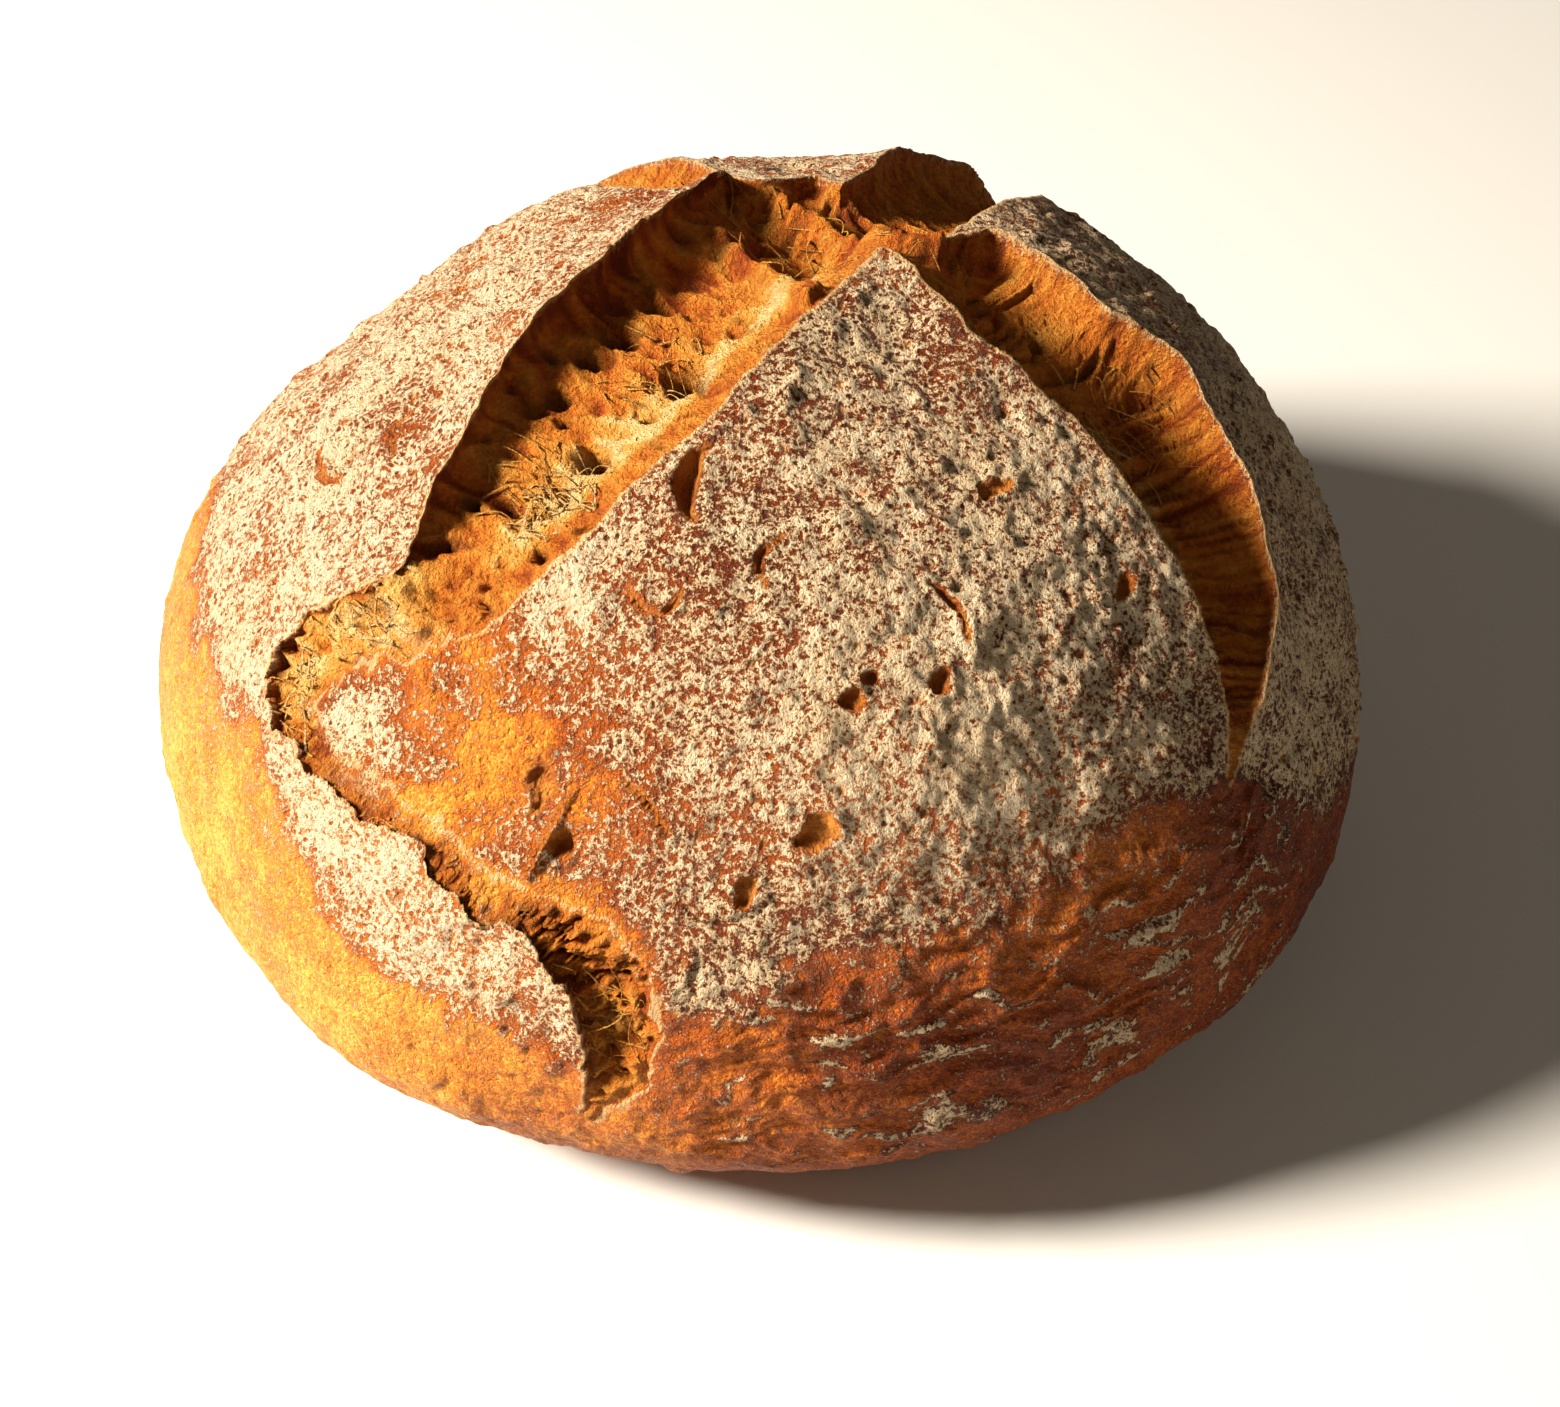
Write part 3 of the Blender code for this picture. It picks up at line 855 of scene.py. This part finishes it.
def make_strands(point, u, v, masks):
    """Thin tubes between places in the opening: their points, faces, u, v and masks."""
    starts, ends = strand_ends(masks)
    thick = rng.uniform(*STRAND_RADIUS, len(starts))
    bend = rng.normal(0, STRAND_BEND, (len(starts), 3))
    turns = np.arange(STRAND_SIDES) * 2 * math.pi / STRAND_SIDES
    points = []
    for start, end, radius, off in zip(starts, ends, thick, bend):
        a, b = point[start], point[end]
        way = (b - a) / max(np.linalg.norm(b - a), 1e-6)
        side = np.cross(way, (0.3, 0.2, 1.0))
        side /= np.linalg.norm(side)
        up = np.cross(side, way)
        for step in range(STRAND_STEPS + 1):
            t = step / STRAND_STEPS
            hump = math.sin(math.pi * t)
            middle = a + (b - a) * t + hump * (off + (0, 0, STRAND_LIFT))
            wide = radius * (1.5 - hump)
            points.extend(middle + wide * (math.cos(turn) * side + math.sin(turn) * up) for turn in turns)
    points = np.array(points)
    rows = np.arange(len(points)).reshape(len(starts), STRAND_STEPS + 1, STRAND_SIDES)
    ahead = np.roll(rows, -1, axis=2)
    corners = (rows[:, :-1], ahead[:, :-1], ahead[:, 1:], rows[:, 1:])
    faces = np.stack([c.ravel() for c in corners], axis=1)
    each = (STRAND_STEPS + 1) * STRAND_SIDES
    own = {name: np.repeat(values[starts], each) for name, values in masks.items()}
    own["pale"] = np.clip(own["pale"] + 0.5, 0, 1)
    # Strands carry less painted shade than the crumb they start from, and none of the holes' painted shade.
    own["crumb_shade"], own["hole"], own["fibre"] = 0.4 * own["crumb_shade"], 0 * own["hole"], 0 * own["fibre"] + 0.8
    return points, faces, np.repeat(u[starts], each), np.repeat(v[starts], each), own


def quads_of(numbers):
    """The quads between neighbours in a square of numbers."""
    corners = (numbers[:-1, :-1], numbers[:-1, 1:], numbers[1:, 1:], numbers[1:, :-1])
    return np.stack([c.ravel() for c in corners], axis=1)


def make_mesh(vertices, quads):
    """A smooth-shaded mesh of quads, from vertices in millimetres."""
    mesh = bpy.data.meshes.new("loaf_crust")
    mesh.vertices.add(len(vertices))
    mesh.vertices.foreach_set("co", (vertices * MM).astype(np.float32).ravel())
    mesh.loops.add(quads.size)
    mesh.loops.foreach_set("vertex_index", quads.astype(np.int32).ravel())
    mesh.polygons.add(len(quads))
    mesh.polygons.foreach_set("loop_start", np.arange(0, quads.size, 4, dtype=np.int32))
    mesh.polygons.foreach_set("use_smooth", np.ones(len(quads), bool))
    mesh.update(calc_edges=True)
    return mesh


def make_loaf():
    """The loaf's one object, with its map as UVs and its masks as attributes."""
    point, u, v, masks = crust_surface()
    used, compact = np.unique(welded_numbers(), return_inverse=True)
    extra, extra_faces, extra_u, extra_v, extra_masks = make_strands(point, u, v, masks)
    mesh = make_mesh(
        np.concatenate([point[used], extra]),
        np.concatenate([quads_of(compact.reshape(GRID, GRID)), extra_faces + len(used)]),
    )
    # The folded edges are one vertex in the mesh but keep their own places on the map.
    places = np.concatenate([quads_of(np.arange(GRID * GRID).reshape(GRID, GRID)), extra_faces + len(point)])
    u, v = np.concatenate([u, extra_u]), np.concatenate([v, extra_v])
    flat = np.stack([(u + 1) / 2, (v + 1) / 2], axis=1)[places.ravel()]
    mesh.uv_layers.new(name="OFBake").data.foreach_set("uv", flat.astype(np.float32).ravel())
    for name, values in masks.items():
        layer = mesh.attributes.new(name, "FLOAT", "POINT")
        layer.data.foreach_set("value", np.concatenate([values[used], extra_masks[name]]).astype(np.float32))
    mesh.validate()
    loaf = bpy.data.objects.new("loaf_crust", mesh)
    bpy.context.collection.objects.link(loaf)
    return loaf


# ---- material

# Colours are linear. The lists are (place on the ramp, colour), from pale to dark or dark to pale.
BARE_COLOURS = (
    (0.05, (0.97, 0.53, 0.095)),
    (0.28, (0.84, 0.28, 0.024)),
    (0.50, (0.54, 0.115, 0.008)),
    (0.74, (0.24, 0.036, 0.004)),
    (1.00, (0.07, 0.012, 0.004)),
)
CRUMB_COLOURS = (
    (0.0, (0.40, 0.070, 0.006)),
    (0.28, (0.66, 0.185, 0.015)),
    (0.55, (0.78, 0.30, 0.038)),
    (0.80, (0.86, 0.44, 0.10)),
    (1.0, (0.92, 0.60, 0.24)),
)
THIN_FLOUR, THICK_FLOUR, TOASTED_FLOUR = (0.56, 0.27, 0.085), (0.88, 0.73, 0.51), (0.80, 0.56, 0.30)
PIT_DARK, PIT_LIGHT = (0.36, 0.075, 0.012), (0.80, 0.30, 0.05)
# The last two colours here are painted shade: on the crumb under the lips and in narrow parts of the
# opening, and in the crumb's holes.
LIP_COLOUR, PAINTED_CRUMB_SHADE, HOLE_SHADE = (0.86, 0.55, 0.25), (0.20, 0.036, 0.005), (0.20, 0.055, 0.008)
BUMP_DISTANCE = 0.0021

MIX_FACTOR, MIX_COLOURS, MIX_RESULT = 0, (6, 7), 2  # sockets by number, as others share their names


class Nodes:
    """Short calls for making shader nodes."""

    def __init__(self, tree):
        self.tree = tree

    def link(self, value, socket):
        """Links a socket's output, or sets a number, vector or colour."""
        if hasattr(value, "is_output"):
            self.tree.links.new(value, socket)
        else:
            socket.default_value = value

    def attribute(self, name):
        node = self.tree.nodes.new("ShaderNodeAttribute")
        node.attribute_name = name
        return node.outputs["Fac"]

    def math(self, operation, a, b):
        node = self.tree.nodes.new("ShaderNodeMath")
        node.operation = operation
        self.link(a, node.inputs[0])
        self.link(b, node.inputs[1])
        return node.outputs[0]

    def sum(self, *terms):
        """The terms added up, each a value and what it is multiplied by."""
        total = 0.0
        for value, times in terms:
            node = self.tree.nodes.new("ShaderNodeMath")
            node.operation = "MULTIPLY_ADD"
            for socket, number in zip(node.inputs, (value, times, total)):
                self.link(number, socket)
            total = node.outputs[0]
        return total

    def centred(self, value):
        return self.math("SUBTRACT", value, 0.5)

    def noise(self, vector, scale, detail=2.0, roughness=0.5):
        node = self.tree.nodes.new("ShaderNodeTexNoise")
        self.link(vector, node.inputs["Vector"])
        node.inputs["Scale"].default_value = scale
        node.inputs["Detail"].default_value = detail
        node.inputs["Roughness"].default_value = roughness
        return node.outputs["Fac"]

    def spots(self, vector, scale):
        node = self.tree.nodes.new("ShaderNodeTexVoronoi")
        self.link(vector, node.inputs["Vector"])
        node.inputs["Scale"].default_value = scale
        return node.outputs["Distance"]

    def ramp(self, value, stops):
        node = self.tree.nodes.new("ShaderNodeValToRGB")
        self.link(value, node.inputs["Fac"])
        elements = node.color_ramp.elements
        while len(elements) < len(stops):
            elements.new(0.5)
        for element, (place, colour) in zip(elements, stops):
            element.position, element.color = place, (*colour, 1.0)
        return node.outputs["Color"]

    def step(self, value, low, high, to_low=0.0, to_high=1.0):
        node = self.tree.nodes.new("ShaderNodeMapRange")
        node.interpolation_type = "SMOOTHSTEP"
        for socket, number in zip(node.inputs, (value, low, high, to_low, to_high)):
            self.link(number, socket)
        return node.outputs["Result"]

    def mix(self, share, a, b):
        node = self.tree.nodes.new("ShaderNodeMix")
        node.data_type = "RGBA"
        self.link(share, node.inputs[MIX_FACTOR])
        for colour, socket in zip((a, b), MIX_COLOURS):
            self.link(colour if hasattr(colour, "is_output") else (*colour, 1.0), node.inputs[socket])
        return node.outputs[MIX_RESULT]


def skin_colour(n, patterns, dusted, cover):
    """The crust's colour: bare and browned, with painted shade on the bare crust between thick flour, under
    flour, with its pits and its pale lips.
    """
    broad, mottle, speck, grain, _ = patterns
    # Painted shade: the bare crust that shows between flour grains is darker where the flour lies thick.
    shade_under_flour = n.step(n.attribute("flour"), 0.15, 0.7)
    brown = n.attribute("bake")
    bake = n.sum((brown, 1), (broad, 0.4), (mottle, 0.6), (speck, 1.2), (grain, 0.5), (shade_under_flour, 0.42))
    bare = n.ramp(bake, BARE_COLOURS)
    thick = n.step(cover, 0.48, 1.15)
    flour_colour = n.mix(thick, THIN_FLOUR, THICK_FLOUR)
    flour_colour = n.mix(n.step(broad, -0.1, 0.25, 0, 0.5), flour_colour, TOASTED_FLOUR)
    skin = n.mix(n.math("MULTIPLY", dusted, 0.94), bare, flour_colour)
    pit_colour = n.mix(n.step(mottle, -0.2, 0.2), PIT_DARK, PIT_LIGHT)
    skin = n.mix(n.math("MULTIPLY", n.attribute("pit"), 0.9), skin, pit_colour)
    rim = n.step(n.sum((n.attribute("lip"), 1), (speck, 1.2)), 0.45, 0.8, 0, 0.75)
    return n.mix(rim, skin, LIP_COLOUR)


def crumb_colour(n, patterns):
    """The torn crumb's colour: pale to orange, with painted shade under the lips, where the opening is
    narrow and in its holes.
    """
    _, mottle, speck, _, _ = patterns
    strands = n.centred(n.attribute("fibre"))
    tone = n.sum((n.attribute("pale"), 0.72), (mottle, 0.9), (speck, 0.6), (strands, 0.9), (0.03, 1))
    crumb = n.ramp(tone, CRUMB_COLOURS)
    # Painted shade: darker under the lips and in narrow parts of the opening, less on raised fibres.
    shade_amount = n.sum((n.attribute("crumb_shade"), 0.95), (mottle, 0.9), (strands, -0.7))
    crumb = n.mix(n.step(shade_amount, 0.1, 0.95, 0, 0.88), crumb, PAINTED_CRUMB_SHADE)
    # Painted shade in the crumb's holes.
    return n.mix(n.math("MULTIPLY", n.attribute("hole"), 0.8), crumb, HOLE_SHADE)


def crust_material():
    """Flour over browned skin, and crumb in the openings, by the mesh's masks and 3-D noise."""
    material = bpy.data.materials.new("crust")
    material.use_nodes = True
    tree = material.node_tree
    n = Nodes(tree)
    shader = tree.nodes["Principled BSDF"]
    place = tree.nodes.new("ShaderNodeTexCoord").outputs["Object"]
    broad = n.centred(n.noise(place, 60, 3, 0.6))
    mottle = n.centred(n.noise(place, 200, 4, 0.65))
    speck = n.centred(n.noise(place, 950, 4, 0.75))
    grain = n.centred(n.noise(place, 2400, 2, 0.7))
    pores = n.step(n.spots(place, 560), 0.34, 0.10)
    patterns = (broad, mottle, speck, grain, pores)

    cover = n.sum((n.attribute("flour"), 1), (broad, 0.7), (mottle, 1.3), (speck, 3.8), (grain, 1.4),
                  (pores, -0.5), (n.attribute("lip"), -0.1))
    dusted = n.step(cover, 0.49, 0.66)
    colour = n.mix(n.attribute("crumb"), skin_colour(n, patterns, dusted, cover), crumb_colour(n, patterns))
    tree.links.new(colour, shader.inputs["Base Color"])

    shader.inputs["Specular IOR Level"].default_value = 0.2
    rough = n.sum((dusted, 0.40), (speck, 0.5), (n.attribute("crumb"), 0.25), (0.50, 1))
    tree.links.new(n.math("MINIMUM", rough, 0.95), shader.inputs["Roughness"])

    relief = n.sum((mottle, 1.6), (speck, 1.7), (grain, 0.7), (dusted, 0.30), (pores, -0.35))
    bump = tree.nodes.new("ShaderNodeBump")
    bump.inputs["Strength"].default_value = 1.0
    bump.inputs["Distance"].default_value = BUMP_DISTANCE
    tree.links.new(relief, bump.inputs["Height"])
    tree.links.new(bump.outputs["Normal"], shader.inputs["Normal"])
    return material


# ---- floor, light and camera

FLOOR_SIZE = 12
FLOOR_DROP = 0.0002  # of the floor below the base, so that the two don't share a plane
FLOOR_COLOUR, FLOOR_ROUGHNESS = (0.66, 0.65, 0.64), 0.8

# (name, place, diameter, watts, colour) of the two round lights.
LIGHTS = (
    ("key", (-1.04, -0.24, 0.78), 0.34, 66, (1.0, 0.91, 0.77)),
    ("fill", (0.7, -1.1, 1.1), 1.2, 2.6, (1.0, 0.84, 0.62)),
)
LIGHT_AIM = (0, 0, 0.05)
WORLD_COLOUR, WORLD_STRENGTH = (1.0, 0.88, 0.72), 0.09

SENSOR_WIDTH, LENS = 36.0, 62.75  # in millimetres
CAMERA_PLACE = (0.0, -0.3929, 0.3649)
CAMERA_AIM = (0.0026, -0.0168, 0.0419)


def make_floor():
    bpy.ops.mesh.primitive_plane_add(size=FLOOR_SIZE, location=(0, 0, -FLOOR_DROP))
    floor = bpy.context.object
    floor.name = "floor"
    material = bpy.data.materials.new("floor")
    material.use_nodes = True
    shader = material.node_tree.nodes["Principled BSDF"]
    shader.inputs["Base Color"].default_value = (*FLOOR_COLOUR, 1.0)
    shader.inputs["Roughness"].default_value = FLOOR_ROUGHNESS
    floor.data.materials.append(material)


def add_aimed(name, data, place, aim):
    """A light or camera in the scene that looks from its place at the aim."""
    thing = bpy.data.objects.new(name, data)
    thing.location = place
    thing.rotation_euler = (Vector(aim) - Vector(place)).to_track_quat("-Z", "Y").to_euler()
    bpy.context.collection.objects.link(thing)
    return thing


def make_lights():
    for name, place, size, power, colour in LIGHTS:
        data = bpy.data.lights.new(name, "AREA")
        data.shape, data.size = "DISK", size
        data.energy, data.color = power, colour
        add_aimed(name, data, place, LIGHT_AIM)
    world = bpy.context.scene.world or bpy.data.worlds.new("studio")
    bpy.context.scene.world = world
    world.use_nodes = True
    background = world.node_tree.nodes["Background"]
    background.inputs["Color"].default_value = (*WORLD_COLOUR, 1.0)
    background.inputs["Strength"].default_value = WORLD_STRENGTH


def make_camera():
    data = bpy.data.cameras.new("camera")
    data.sensor_width, data.lens = SENSOR_WIDTH, LENS
    bpy.context.scene.camera = add_aimed("camera", data, CAMERA_PLACE, CAMERA_AIM)
    bpy.context.scene.view_settings.view_transform = "Standard"


def main():
    make_floor()
    make_lights()
    make_camera()
    loaf = make_loaf()
    loaf.data.materials.append(crust_material())
    body = next(iter(frame["bodies"]))
    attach(loaf, body)
    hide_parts("sourdough_loaf")


main()
